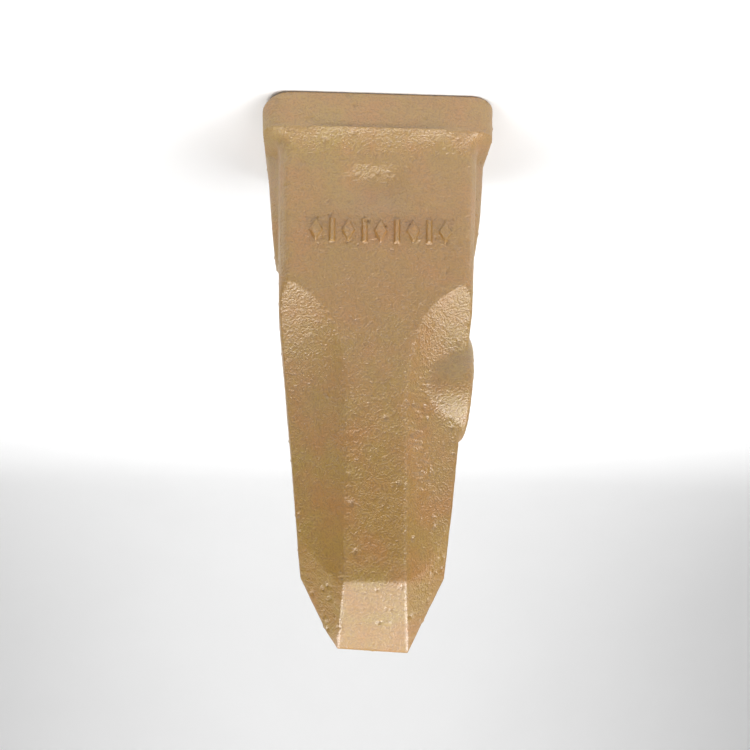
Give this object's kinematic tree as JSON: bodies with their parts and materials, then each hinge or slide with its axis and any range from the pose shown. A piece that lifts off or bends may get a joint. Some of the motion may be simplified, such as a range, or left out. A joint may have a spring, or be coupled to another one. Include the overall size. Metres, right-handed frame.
{
  "type": "excavator bucket tooth",
  "caption": "Heavy cast-steel bucket tooth with a faceted chisel tip, scooped flanks, a tapered socket, and a cross pin with a split clip-over retainer.",
  "frame": {"origin": "middle of the socket's rim, in the plane the tooth stands on", "axes": "+Z from the rim to the tip, +X across the tooth along the pin, marked face towards -Y"},
  "size_m": [0.1772, 0.1604, 0.408],
  "materials": {
    "painted_casting": "tan-gold shop paint over rough sand-cast alloy steel",
    "pin_steel": "turned and heat-treated, dull grey",
    "spring_steel": "oil-blackened spring steel",
    "rubber": "matte moulded black"
  },
  "bodies": {
    "tooth": {"tooth_casting": "painted_casting"},
    "pin": {"retaining_pin": "pin_steel"},
    "retainer": {"retainer_split_ring": "spring_steel", "retainer_rubber": "rubber"}
  },
  "joints": [
    {"name": "pin_slide", "type": "slide", "parent": "tooth", "child": "pin", "axis": [-1, 0, 0], "range_m": [0, 0.095]},
    {"name": "retainer_turn", "type": "hinge", "parent": "pin", "child": "retainer", "pos_m": [0.047, 0, 0.072], "axis": [1, 0, 0], "continuous": true}
  ]
}
